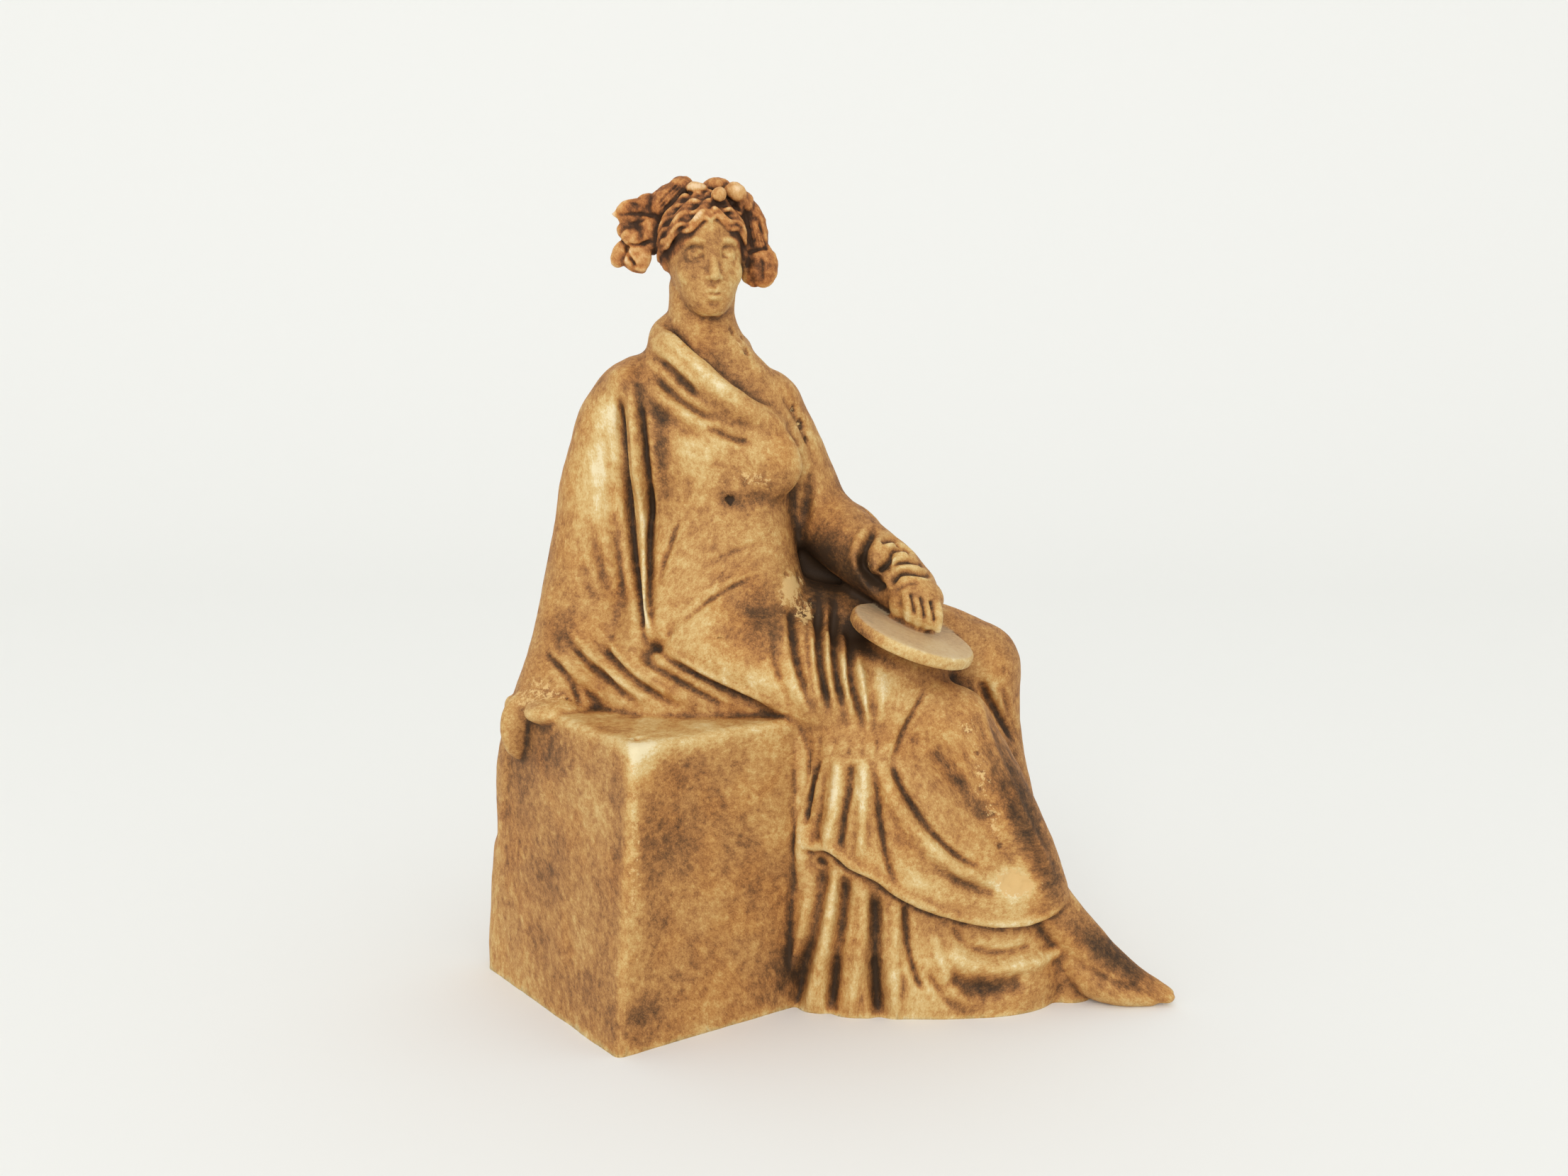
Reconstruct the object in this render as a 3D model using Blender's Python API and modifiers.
"""Seated lady on a block, in the manner of a Tanagra figurine, cast in one piece of plaster.

Blender 4.5, metres, +Z up. The lady faces -Y, her knees and feet point to +X, and the block is turned under her.
The origin is on the underside, at the middle of the block. Points and sizes given to the modelling
functions below are in millimetres.
"""

import math

import bmesh
import bpy
import numpy as np
from mathutils import Matrix, Vector
from mathutils.bvhtree import BVHTree

MM = 0.001

BLOCK_LENGTH = 83
BLOCK_DEPTH = 67
BLOCK_HEIGHT = 72
BLOCK_TURN = 35.8
BLOCK_CORNER = (-15.5, -50.8)
BLOCK_DRAFT = 6
EDGE_WEAR = 1.8

HEAD_CENTRE = (3.2, 3.5, 181)
HEAD_TURN = 16

DISC_CENTRE = (53.3, -14, 90.8)
DISC_RADIUS = 15.6
DISC_THICKNESS = 4
DISC_SLANT = 20

SOFT_VOXEL = 1.2
SKIN_VOXEL = 0.9
TRIANGLES = 10100


def clear_scene():
    for obj in list(bpy.data.objects):
        bpy.data.objects.remove(obj)


def at(x, y, z):
    return Vector((x, y, z)) * MM


def new_object(name, mesh):
    obj = bpy.data.objects.new(name, mesh)
    bpy.context.scene.collection.objects.link(obj)
    return obj


def finished(bm, name):
    bmesh.ops.recalc_face_normals(bm, faces=bm.faces)
    mesh = bpy.data.meshes.new(name)
    bm.to_mesh(mesh)
    bm.free()
    return new_object(name, mesh)


def evaluated_copy(obj, name):
    """The object as its modifiers leave it, as a new object in its place."""
    bpy.context.view_layer.update()
    graph = bpy.context.evaluated_depsgraph_get()
    mesh = bpy.data.meshes.new_from_object(obj.evaluated_get(graph))
    bpy.data.objects.remove(obj)
    return new_object(name, mesh)


def smooth_path(points, steps):
    """A Catmull-Rom curve through the points, with that many steps between each two."""
    p = np.array(points, float)
    p = np.vstack([2 * p[0] - p[1], p, 2 * p[-1] - p[-2]])
    made = []
    for a, b, c, d in zip(p, p[1:], p[2:], p[3:]):
        for t in np.arange(steps) / steps:
            bend = 2 * b + (c - a) * t + (2 * a - 5 * b + 4 * c - d) * t**2 + (3 * b - a - 3 * c + d) * t**3
            made.append(bend / 2)
    made.append(p[-2])
    return np.array(made)


def even_path(points, count):
    """That many points, evenly numbered along the curve through the given ones."""
    curve = smooth_path(points, 8)
    places = np.linspace(0, len(curve) - 1, count)
    return np.array([np.interp(places, range(len(curve)), column) for column in curve.T]).T


def ball(bm, centre, radii, turn=(0, 0, 0), detail=3):
    """An ellipsoid with its half sizes, turned by degrees about X, then Y, then Z."""
    spin = Matrix.Identity(4)
    for axis, angle in zip("XYZ", turn):
        spin = Matrix.Rotation(math.radians(angle), 4, axis) @ spin
    place = Matrix.Translation(at(*centre)) @ spin @ Matrix.Diagonal((*(r * MM for r in radii), 1))
    bmesh.ops.create_icosphere(bm, subdivisions=detail, radius=1, matrix=place)


def limb(bm, stations, steps=8):
    """A tapering limb through stations of (x, y, z, radius)."""
    for x, y, z, r in smooth_path(stations, steps):
        ball(bm, (x, y, z), (r, r, r), detail=2)


def loft(bm, rings, segments=56):
    """A closed body through level rings of (z, centre x, centre y, half width, half depth, squareness)."""
    rows = []
    for z, x, y, a, b, power in smooth_path(rings, 4):
        row = []
        for k in range(segments):
            c = math.cos(2 * math.pi * k / segments)
            s = math.sin(2 * math.pi * k / segments)
            px = x + a * math.copysign(abs(c) ** (2 / power), c)
            py = y + b * math.copysign(abs(s) ** (2 / power), s)
            row.append(bm.verts.new(at(px, py, z)))
        rows.append(row)
    for low, high in zip(rows, rows[1:]):
        for k in range(segments):
            j = (k + 1) % segments
            bm.faces.new((low[k], low[j], high[j], high[k]))
    bm.faces.new(rows[0][::-1])
    bm.faces.new(rows[-1])


def one_skin(objects, voxel, passes, name):
    """Overlapping bodies as one skin, rounded where they meet by that many smoothing passes."""
    bm = bmesh.new()
    for obj in objects:
        bm.from_mesh(obj.data)
        bpy.data.objects.remove(obj)
    joined = finished(bm, name)
    remesh = joined.modifiers.new("One skin", "REMESH")
    remesh.mode = "VOXEL"
    remesh.voxel_size = voxel * MM
    smooth = joined.modifiers.new("Soften", "SMOOTH")
    smooth.factor = 0.5
    smooth.iterations = passes
    return evaluated_copy(joined, name)


def steadied(rows):
    """Rows of numbers averaged with their neighbours, to lead a stroke calmly over uneven ground."""
    rows = np.array(rows, float)
    for _ in range(4):
        padded = np.vstack([2 * rows[:1] - rows[1:2], rows, 2 * rows[-1:] - rows[-2:-1]])
        rows = (padded[:-2] + 2 * padded[1:-1] + padded[2:]) / 4
    return rows


class Clay:
    """A skin whose points are pushed and pulled like clay, in millimetres."""

    def __init__(self, obj):
        self.obj = obj
        count = len(obj.data.vertices)
        flat = np.empty(count * 3)
        obj.data.vertices.foreach_get("co", flat)
        self.points = flat.reshape(-1, 3) / MM
        self.faces = [tuple(p.vertices) for p in obj.data.polygons]
        self.refresh()

    def refresh(self):
        """Writes the points back and measures the skin's normals again."""
        self.obj.data.vertices.foreach_set("co", (self.points * MM).ravel())
        self.obj.data.update()
        flat = np.empty(len(self.points) * 3)
        self.obj.data.vertex_normals.foreach_get("vector", flat)
        self.normals = flat.reshape(-1, 3)
        self.tree = BVHTree.FromPolygons([tuple(p) for p in self.points], self.faces)

    def on_side(self, side, path):
        """Points of a path drawn on an elevation, carried straight back onto the skin.

        On the front and back a point is (x, z), and on the right and left it is (y, z).
        """
        ahead = {"front": (0, 1, 0), "back": (0, -1, 0), "right": (-1, 0, 0), "left": (1, 0, 0)}[side]
        found = []
        for u, z in path:
            start = Vector((u, 0, z)) if side in ("front", "back") else Vector((0, u, z))
            hit, normal, _, _ = self.tree.ray_cast(start - 300 * Vector(ahead), Vector(ahead))
            if hit is not None:
                found.append((hit, normal))
        return steadied([f[0] for f in found]), steadied([f[1] for f in found])

    def stroke(self, side, path, width, height, ends=0.25):
        """A ridge, or with a negative height a groove, along a path, fading out over that share at its ends."""
        curve = smooth_path(path, 10)
        line, facing = self.on_side(side, curve)
        low, high = line.min(0) - width, line.max(0) + width
        near = np.where(((self.points > low) & (self.points < high)).all(1))[0]
        # distances count less in depth than across, so that a stroke also runs evenly down a steep side
        depth = (1, 0.4, 1) if side in ("front", "back") else (0.4, 1, 1)
        gaps = np.linalg.norm((self.points[near, None] - line[None]) * depth, axis=2)
        nearest = gaps.argmin(1)
        reach = gaps.min(1) / width
        along = nearest / (len(line) - 1)
        fade = np.clip(np.minimum(along, 1 - along) / max(ends, 1e-6), 0, 1)
        fade = fade * fade * (3 - 2 * fade)
        push = np.clip(1 - reach**2, 0, None) ** 2 * fade * height
        push *= np.clip((self.normals[near] * facing[nearest]).sum(1) * 1.5, 0, 1)
        way = facing[nearest] / np.linalg.norm(facing[nearest], axis=1, keepdims=True)
        self.points[near] += way * push[:, None]

    def fan(self, side, first, last, count, width, height, ends=0.25, gutter=1.0):
        """Folds spread evenly from the first path to the last, with a gutter between each two."""
        a, b = even_path(first, 7), even_path(last, 7)
        for i in range(2 * count - 1):
            t = i / (2 * count - 2)
            self.stroke(side, a + (b - a) * t, width, height if i % 2 == 0 else -height * gutter, ends)
        self.refresh()

    def hem(self, side, path, drop, reach, edge=0.9):
        """An edge of cloth along a path: below it the skin steps in by the drop and comes out again within the reach."""
        line, facing = self.on_side(side, smooth_path(path, 10))
        run = np.gradient(line, axis=0)
        down = np.cross(run, facing)
        down *= -np.sign(down[:, 2:3]) / np.linalg.norm(down, axis=1, keepdims=True)
        low, high = line.min(0) - reach, line.max(0) + 2
        near = np.where(((self.points > low) & (self.points < high)).all(1))[0]
        offset = self.points[near, None] - line[None]
        nearest = np.linalg.norm(offset, axis=2).argmin(1)
        below = (offset[np.arange(len(near)), nearest] * down[nearest]).sum(1)
        step = np.clip(below / edge + 0.5, 0, 1)
        ease = np.clip(1 - below / reach, 0, 1)
        along = nearest / (len(line) - 1)
        fade = np.clip(np.minimum(along, 1 - along) / 0.12, 0, 1)
        push = drop * step * step * (3 - 2 * step) * ease * ease * (3 - 2 * ease) * fade
        push *= (self.normals[near] * facing[nearest]).sum(1) > 0.2
        self.points[near] -= self.normals[near] * push[:, None]

    def done(self):
        self.refresh()
        return self.obj


def drapery():
    """The body and its clothes as smooth masses, before any fold is cut."""
    bm = bmesh.new()
    trunk = [
        (70, 4, 2, 30, 21, 2.5),
        (84, 4, 2, 28, 20, 2.4),
        (96, 5, 3, 24, 17.5, 2.3),
        (108, 6, 4, 20, 14.5, 2.2),
        (118, 5.5, 5, 18.5, 13, 2.2),
        (128, 4, 6, 20.5, 13.5, 2.2),
        (138, 2.5, 7, 23, 14, 2.2),
        (147, 1.5, 7, 22.5, 13, 2.2),
        (152, 1, 7, 20, 11.5, 2.1),
        (157, 1.5, 6.5, 15, 10.5, 2),
        (163, 2, 6, 10, 9.8, 2),
    ]
    loft(bm, trunk)
    ball(bm, (-5, -1.8, 134), (13, 6.2, 13))
    ball(bm, (14, -3.4, 132.5), (11, 6.8, 10.5))
    right_arm = [
        (69, -27.5, 4, 18, 14, 2.2),
        (77, -27, 4, 17, 14, 2.2),
        (84, -26.5, 4, 15, 13.5, 2.2),
        (94, -26, 5, 13, 12.5, 2.2),
        (104, -25, 6, 12, 12, 2.2),
        (114, -24.3, 7, 10.6, 11.5, 2.2),
        (124, -23.8, 8, 9.8, 11, 2.2),
        (134, -22.6, 8, 8.4, 10.5, 2.2),
        (144, -19.5, 8, 8.3, 10, 2.2),
        (150, -15.5, 8, 8.5, 9.5, 2.1),
        (154, -12, 7.5, 8.5, 8.5, 2),
        (157, -9.5, 7.5, 6, 6, 2),
    ]
    loft(bm, right_arm)
    back = [
        (68, -4, 17, 28, 15, 2.1),
        (84, -4, 16, 28, 14, 2.1),
        (100, -3, 14, 25.5, 12, 2.1),
        (120, -2, 13, 25, 10, 2.2),
        (140, 0, 12, 23, 9, 2.2),
        (152, 1, 11, 17, 8, 2.1),
        (160, 2, 10, 10, 7, 2),
    ]
    loft(bm, back)
    # cloth between the arms and the body
    limb(bm, [(-16, 1.5, 150, 5), (-14, 2, 134, 5.2), (-13, 2, 117, 5.4), (-12, -1, 100, 5.6), (-11, -6, 88, 6)])
    ball(bm, (33, 15, 103), (17, 5.5, 19), (0, 25, 0))
    # the roll of cloth round the neck
    limb(bm, [(11, 10, 158.5, 3.8), (4, 14, 162.5, 4.6), (-4, 10, 163, 4.6), (-6.2, 4, 160.5, 4.6), (-3, -1.4, 155.5, 4.6),
              (5, -3.6, 149.5, 4.4), (14, -5, 144.5, 3.6)])
    limb(bm, [(17, 9, 143.5, 10.5), (22.3, 11, 136, 9.2), (27, 13, 126, 8.8), (31, 13, 117, 8.8)])
    limb(bm, [(31, 13, 117, 8.8), (40, 5, 110, 8.7), (48, -2, 105, 8.1), (53, -6, 100.5, 7.2)])
    limb(bm, [(4, -4, 87, 15.5), (34, -10, 77, 13.5), (63, -14, 69, 9.8)], 12)
    limb(bm, [(63, -14, 69, 9.8), (74, -15, 50, 9.2), (83, -15, 30, 8.8), (85, -14, 24, 8)], 12)
    limb(bm, [(14, 6, 88, 16), (44, 6, 84.5, 14), (59, 6, 83, 12.8), (70.5, 6, 79, 12)], 12)
    limb(bm, [(70.5, 6, 79, 12), (73, 5, 62, 10), (76.6, 3, 44, 9.8), (80, 0, 20, 9)], 12)
    skirt = [
        (-3, 55, -9, 35, 20, 2.7),
        (8, 56, -9, 36, 20, 2.7),
        (20, 55, -10, 35, 19.5, 2.6),
        (34, 53, -10, 31, 19.5, 2.6),
        (48, 50, -10, 25, 19, 2.5),
        (60, 46, -9, 20, 18.5, 2.4),
        (70, 42, -7, 18, 17, 2.2),
        (80, 38, -4, 16, 14, 2),
    ]
    loft(bm, skirt)
    # the end of the dress beside the foot
    limb(bm, [(84, -10, 22, 9), (90, -12, 12, 7.5), (93, -13, 3, 6.5), (93, -13, -2, 6.5)])
    # the mantle where it hangs over the back of the block
    for i in range(8):
        x, y = -38.6 + 6.4 * i, 7.5 + 4.6 * i
        limb(bm, [(x + 4.4, y - 4, 80, 8), (x + 1, y, 70, 9), (x - 2.4, y, 57, 9.4), (x - 3.6, y, 44, 9.2),
                  (x - 4, y - 0.5, 28 + 2 * i, 8.2), (x - 3.6, y - 3, 21 + 2 * i, 6)])
    limb(bm, [(-43.2, 8, 30, 9.4), (-44.6, 7.5, 12, 9.4), (-45, 7, -4, 9.4)])
    limb(bm, [(-39.2, -1, 73, 5.2), (-35.5, -8, 71, 4.4), (-30, -14, 70.5, 3)])
    return one_skin([finished(bm, "masses")], SOFT_VOXEL, 9, "drapery")


def cut_folds(clay):
    """The folds of the mantle and the dress, from the neck down."""
    front = "front"
    # across the breast
    clay.stroke(front, [(-8, 162.5), (-3, 156.5), (4, 150.5), (12, 145.5), (20, 142)], 3.6, 1.5)
    clay.stroke(front, [(-5, 163.5), (1, 157), (8.6, 151.5), (16, 147), (22, 144)], 2.4, -2.4)
    clay.stroke(front, [(-9.5, 158), (-4, 154), (2.5, 149), (8, 145)], 2.2, -2)
    clay.stroke(front, [(-12, 155), (-5, 151.5), (3, 146), (10, 142)], 2.6, 1.2)
    clay.stroke(front, [(-12, 152.5), (-4.8, 150), (2, 145), (8, 141.5)], 2.2, -1.6)
    clay.stroke(front, [(1, 143), (7, 140), (14, 137)], 2.2, -1.3)
    clay.stroke(front, [(-14, 149), (-4, 144), (6, 139), (16, 133)], 4, 1)
    clay.stroke(front, [(28.2, 140), (27, 133), (24, 127), (22.5, 119), (23, 112)], 3, -2)
    # between the body and the covered right arm
    clay.stroke(front, [(-14.6, 150), (-13.3, 134), (-12.7, 116), (-11.6, 100), (-10.4, 88)], 2.6, 1.8)
    clay.refresh()
    clay.stroke(front, [(-17.2, 150), (-16.3, 131), (-15.4, 117), (-14.2, 99), (-12.2, 88)], 2.2, -3.2)
    clay.stroke(front, [(-12, 150), (-10.8, 131), (-10.1, 113), (-8.8, 100), (-9, 88)], 2.2, -3)
    clay.refresh()
    clay.stroke(front, [(0, 115), (-5, 110), (-8.5, 100)], 2.4, -1.8)
    clay.stroke(front, [(-10.5, 91), (-9.3, 86)], 4.4, -5, 0.6)
    clay.refresh()
    # over the hip and the edge of the block
    clay.fan(front, [(-36, 87), (-31, 78), (-24, 73)], [(-5, 86), (6, 79.5), (22, 73)], 6, 2.3, 1.3, 0.3)
    clay.stroke(front, [(17, 105.5), (9.7, 102.5), (4, 99.5), (-3, 95)], 2, -1.2)
    clay.stroke(front, [(20, 112.5), (13, 111), (6, 108)], 2, -0.9)
    # pleats of the lap, drawn together below the disc
    clay.fan(front, [(22, 94), (24, 86), (28, 77), (33, 68)], [(45, 87), (45.5, 78), (43.5, 68)], 6, 1.9, 1.3, 0.3)
    clay.stroke(front, [(56, 79.5), (53, 76.5), (50.3, 72), (48, 64.5)], 2.2, -2)
    clay.stroke(front, [(48, 65), (49.6, 59), (55.3, 49.3), (66, 40)], 2.4, -2.2)
    clay.stroke(front, [(46, 65), (48, 55.5), (53.3, 46), (60, 39.5), (72, 33)], 3, 2)
    clay.stroke(front, [(43.5, 65), (44.6, 57.6), (45.8, 49), (49, 36)], 2.2, -2)
    clay.stroke(front, [(57, 40), (64, 34.5), (74, 30.5)], 3, -1.5)
    clay.fan(front, [(32, 66), (30.2, 56), (29.6, 42)], [(41, 66), (41.5, 54), (42, 38)], 3, 2.1, 1.5, 0.15)
    # the mantle's lower edge, standing off the dress under it
    clay.hem(front, [(28, 41.5), (34.7, 40.3), (43.1, 35.1), (50.5, 30.3), (61.8, 26), (76.6, 22.1), (85.4, 22.7), (93, 26)], 2.6, 20)
    clay.refresh()
    # pleats of the dress
    clay.fan(front, [(31.5, 40), (29.6, 22), (24.5, -3)], [(51, 29), (53, 16), (57.5, -3)], 4, 3.2, -2.3, 0.12, 0.8)
    clay.stroke(front, [(60, 24), (68, 18.8), (76, 16.5), (88, 16.5)], 2.6, -1.7)
    clay.stroke(front, [(59, 19), (66, 14.5), (78, 10.5), (91, 9.5)], 3, 1.9)
    clay.stroke(front, [(60, 13), (67, 9), (75, 6)], 4.4, -2.8)
    # between the knees
    clay.stroke(front, [(70.5, 79), (72.7, 72), (75.5, 64), (79, 57)], 2.4, -3)
    clay.stroke(front, [(69, 78), (70.5, 70), (74.5, 60), (80, 47), (87, 33)], 2.2, 1.3)
    clay.refresh()
    # sleeve wound round the forearm
    clay.fan(front, [(45.5, 113), (41, 109.5), (39, 103)], [(58.5, 103), (53.5, 103), (47.5, 99.5)], 4, 1.7, -1.3, 0.2, 0.8)
    # the plain back
    back = "back"
    clay.fan(back, [(-22, 148), (-30, 112), (-38, 76)], [(22, 150), (20, 118), (17, 88)], 5, 5, 1.5, 0.3)
    clay.fan(back, [(-44, 78), (-46, 50), (-47, 26)], [(-2, 76), (-2, 60), (-4, 42)], 5, 3.4, 1.2, 0.2)
    clay.fan(back, [(74, 84), (72, 50), (70, 2)], [(34, 70), (32, 40), (30, 2)], 4, 4, 1.5, 0.2)
    clay.refresh()


def block():
    """The seat: a box with draft on its sides and worn edges."""
    bm = bmesh.new()
    bmesh.ops.create_cube(bm, size=1)
    for v in bm.verts:
        inset_x = (BLOCK_DRAFT if v.co.x < 0 else -BLOCK_DRAFT / 3) if v.co.z > 0 else 0
        inset_y = (BLOCK_DRAFT / 6 if v.co.y < 0 else -BLOCK_DRAFT / 3) if v.co.z > 0 else 0
        x = (v.co.x + 0.5) * BLOCK_LENGTH + inset_x
        y = (v.co.y + 0.5) * BLOCK_DEPTH + inset_y
        v.co = at(x, y, BLOCK_HEIGHT if v.co.z > 0 else -4)
    bmesh.ops.bevel(bm, geom=bm.edges[:], offset=EDGE_WEAR * MM, segments=3, affect="EDGES", profile=0.5)
    bmesh.ops.rotate(bm, verts=bm.verts, matrix=Matrix.Rotation(math.radians(BLOCK_TURN), 3, "Z"))
    bmesh.ops.translate(bm, verts=bm.verts, vec=at(*BLOCK_CORNER, 0))
    return finished(bm, "block")


def disc():
    """The flat round drum on her lap."""
    bm = bmesh.new()
    place = (
        Matrix.Translation(at(*DISC_CENTRE))
        @ Matrix.Rotation(math.radians(DISC_SLANT), 4, "Y")
        @ Matrix.Rotation(math.radians(2), 4, "X")
    )
    bmesh.ops.create_cone(
        bm, cap_ends=True, segments=48, radius1=DISC_RADIUS * MM, radius2=DISC_RADIUS * MM,
        depth=DISC_THICKNESS * MM, matrix=place)
    rims = [e for e in bm.edges if max(len(f.verts) for f in e.link_faces) > 4]
    bmesh.ops.bevel(bm, geom=rims, offset=1.4 * MM, segments=3, affect="EDGES", profile=0.5)
    # the cloth and the thigh that carry it
    ball(bm, (52, -9, 82), (14, 12, 9), (0, 12, 0))
    return finished(bm, "disc")


def hand():
    """The left hand closed over the disc."""
    bm = bmesh.new()
    limb(bm, [(51, -6, 102.5, 6.6), (54, -9, 100.3, 6.4), (56, -12, 98, 5)])
    for i in range(4):
        x, z = 49.5 + 3.4 * i, 99 - 1.1 * i
        limb(bm, [(x, -12, z, 2.1), (x + 0.6, -15.6, z - 1, 2), (x + 0.9, -16.6, z - 4.4, 1.8)], 5)
    return finished(bm, "hand")


def foot():
    """The left foot in its pointed shoe."""
    bm = bmesh.new()
    limb(bm, [(86, -13, 24, 7.6), (93, -15, 17.5, 6.2), (100, -17, 11, 5.2), (107, -18.5, 6.2, 4.2), (113, -19.5, 3.6, 3),
              (116.6, -20, 2.4, 2)])
    limb(bm, [(92, -14, 12, 5.5), (99, -18, 5.5, 4.6), (106, -20, 3, 3.4), (112, -20, 2, 2.4)])
    return finished(bm, "foot")


def face():
    """Skull, face, ears and neck in the head's own axes: her face to -Y, the level of the eyes near 0."""
    bm = bmesh.new()
    rings = [
        (-14.4, 0, -6.6, 2.8, 3, 2),
        (-12.6, 0, -4.6, 5.1, 6, 2),
        (-9.5, 0, -2.6, 6.9, 8.2, 2),
        (-6, 0, -1.5, 8, 9.1, 2),
        (-2, 0, -0.5, 8.8, 9.9, 2.1),
        (2, 0, 0, 9.3, 10.4, 2.2),
        (6, 0, 0.5, 9.5, 10.6, 2.2),
        (10, 0, 1, 8.8, 9.8, 2.1),
        (13, 0, 1.5, 6.5, 7.5, 2),
        (14.6, 0, 1.7, 3, 3.4, 2),
    ]
    loft(bm, rings, 40)
    limb(bm, [(0, -9.9, 2, 1.2), (0, -11, -2.6, 1.35), (0, -11.8, -5.2, 1.5)], 5)
    ball(bm, (0, -10.6, -8.6), (2.5, 1.1, 0.75))
    ball(bm, (0, -10.5, -9.9), (2.1, 1.1, 0.8))
    for side in (-1, 1):
        ball(bm, (side * 1.3, -10.8, -5.7), (1, 1, 0.8))
        ball(bm, (side * 3.7, -8.6, -0.2), (2, 1.5, 1.2))
        ball(bm, (side * 4.7, -6.6, -4.6), (3.2, 3.4, 3.6))
        limb(bm, [(side * 1.2, -9.7, 2.2, 0.9), (side * 4, -9.2, 3.2, 0.9), (side * 6.8, -7.2, 2.2, 0.9)], 5)
        ball(bm, (side * 9.1, 1.6, -1), (1.2, 2, 3))
    limb(bm, [(0, 1.5, -8, 8.3), (-0.3, 2.4, -18, 8.8), (-0.6, 3, -27, 9.8)])
    clay = Clay(one_skin([finished(bm, "face masses")], 0.55, 2, "face"))
    for side in (-1, 1):
        clay.stroke("front", [(side * 2.2, 1), (side * 4, 1.2), (side * 5.6, 0.4)], 1.7, -0.8, 0.4)
        clay.stroke("front", [(side * 2, -1.8), (side * 3.8, -2.2), (side * 5.6, -1.6)], 1.4, -0.4, 0.4)
    clay.stroke("front", [(-2.6, -9.25), (0, -9.15), (2.6, -9.25)], 0.7, -0.6, 0.3)
    return turned_head(clay.done())


def turned_head(obj):
    """Brings a part made in the head's axes onto the neck."""
    obj.data.transform(Matrix.Translation(at(*HEAD_CENTRE)) @ Matrix.Rotation(math.radians(HEAD_TURN), 4, "Z"))
    return obj


def hair():
    """Wavy locks parted over the brow and drawn back on both sides to a low knot."""
    bm = bmesh.new()
    ball(bm, (0, 3, 5), (10.6, 11.2, 10.8), detail=4)
    for side in (-1, 1):
        for k in range(5):
            lock = []
            for j in range(9):
                t = j / 8
                angle = math.radians(12 + 92 * t)
                wave = 0.7 * math.sin(9 * t + 1.3 * k)
                x = side * (10.6 - 0.5 * k) * math.sin(angle)
                y = -8.6 + 3.1 * k + 9.5 * t * t
                z = 1.5 + 1.2 * k + (11.2 - 0.4 * k) * math.cos(angle) + wave
                lock.append((x, y + wave * 0.5, z, 1.9))
            limb(bm, lock, 3)
    ball(bm, (0, 13.5, 0.5), (7, 5.5, 6.5))
    return turned_head(finished(bm, "hair"))


def wreath():
    """Leaves and fruit of her wreath, thick and blunt as cast."""
    bm = bmesh.new()
    ball(bm, (-12.6, 4.5, 190.4), (6.4, 2.4, 4.3), (0, 8, 8))
    ball(bm, (-15.4, 4, 181.4), (5, 2.6, 3.4), (0, 14, 10))
    ball(bm, (-11, 5, 186), (4.5, 4.5, 5.5))
    ball(bm, (-2.8, 5, 195), (6.2, 5, 4.8), (0, -20, 0))
    ball(bm, (0.4, 1, 197.3), (4, 3.4, 2.4), (0, 5, 0))
    ball(bm, (9.8, 1.5, 196), (4.4, 3.6, 2.9), (0, 25, 0))
    ball(bm, (7.2, -4.6, 195.2), (2, 2, 2))
    limb(bm, [(11.4, 5, 192.5, 3.4), (15.6, 5, 188, 3.8), (17.4, 4.5, 182, 4.1), (17.6, 4, 177.4, 4.2)])
    return finished(bm, "wreath")


def flat_underside(obj):
    """Cuts the cast level at the ground and closes it."""
    bm = bmesh.new()
    bm.from_mesh(obj.data)
    bmesh.ops.bisect_plane(
        bm, geom=bm.verts[:] + bm.edges[:] + bm.faces[:], dist=0.02 * MM, plane_co=(0, 0, 0), plane_no=(0, 0, 1), clear_inner=True)
    bmesh.ops.holes_fill(bm, edges=[e for e in bm.edges if e.is_boundary])
    bmesh.ops.triangulate(bm, faces=[f for f in bm.faces if len(f.verts) > 3])
    bmesh.ops.recalc_face_normals(bm, faces=bm.faces)
    bm.to_mesh(obj.data)
    bm.free()


def plaster():
    material = bpy.data.materials.new("patinated plaster")
    material.use_nodes = True
    shader = material.node_tree.nodes["Principled BSDF"]
    shader.inputs["Base Color"].default_value = (0.42, 0.23, 0.08, 1)
    shader.inputs["Roughness"].default_value = 0.62
    return material


def figurine():
    clay = Clay(drapery())
    cut_folds(clay)
    whole = one_skin([clay.obj, block(), disc(), hand(), foot(), face(), hair(), wreath()], SKIN_VOXEL, 2, "figurine")
    finer = whole.vertex_groups.new(name="face")
    centre = at(*HEAD_CENTRE)
    for v in whole.data.vertices:
        in_face = v.co.y < 0.001 and (v.co - centre).length < 15 * MM
        finer.add([v.index], 0.99 if in_face else 0.01, "REPLACE")
    fewer = whole.modifiers.new("Fewer faces", "DECIMATE")
    fewer.ratio = TRIANGLES / (2 * len(whole.data.polygons))
    fewer.vertex_group = finer.name
    fewer.invert_vertex_group = True
    fewer.vertex_group_factor = 0.0006
    whole = evaluated_copy(whole, "figurine")
    flat_underside(whole)
    whole.data.materials.append(plaster())
    cast = bpy.data.collections.new("Tanagra figurine")
    bpy.context.scene.collection.children.link(cast)
    cast.objects.link(whole)
    bpy.context.scene.collection.objects.unlink(whole)
    return whole


def main():
    clear_scene()
    figurine()


if __name__ == "__main__":
    main()
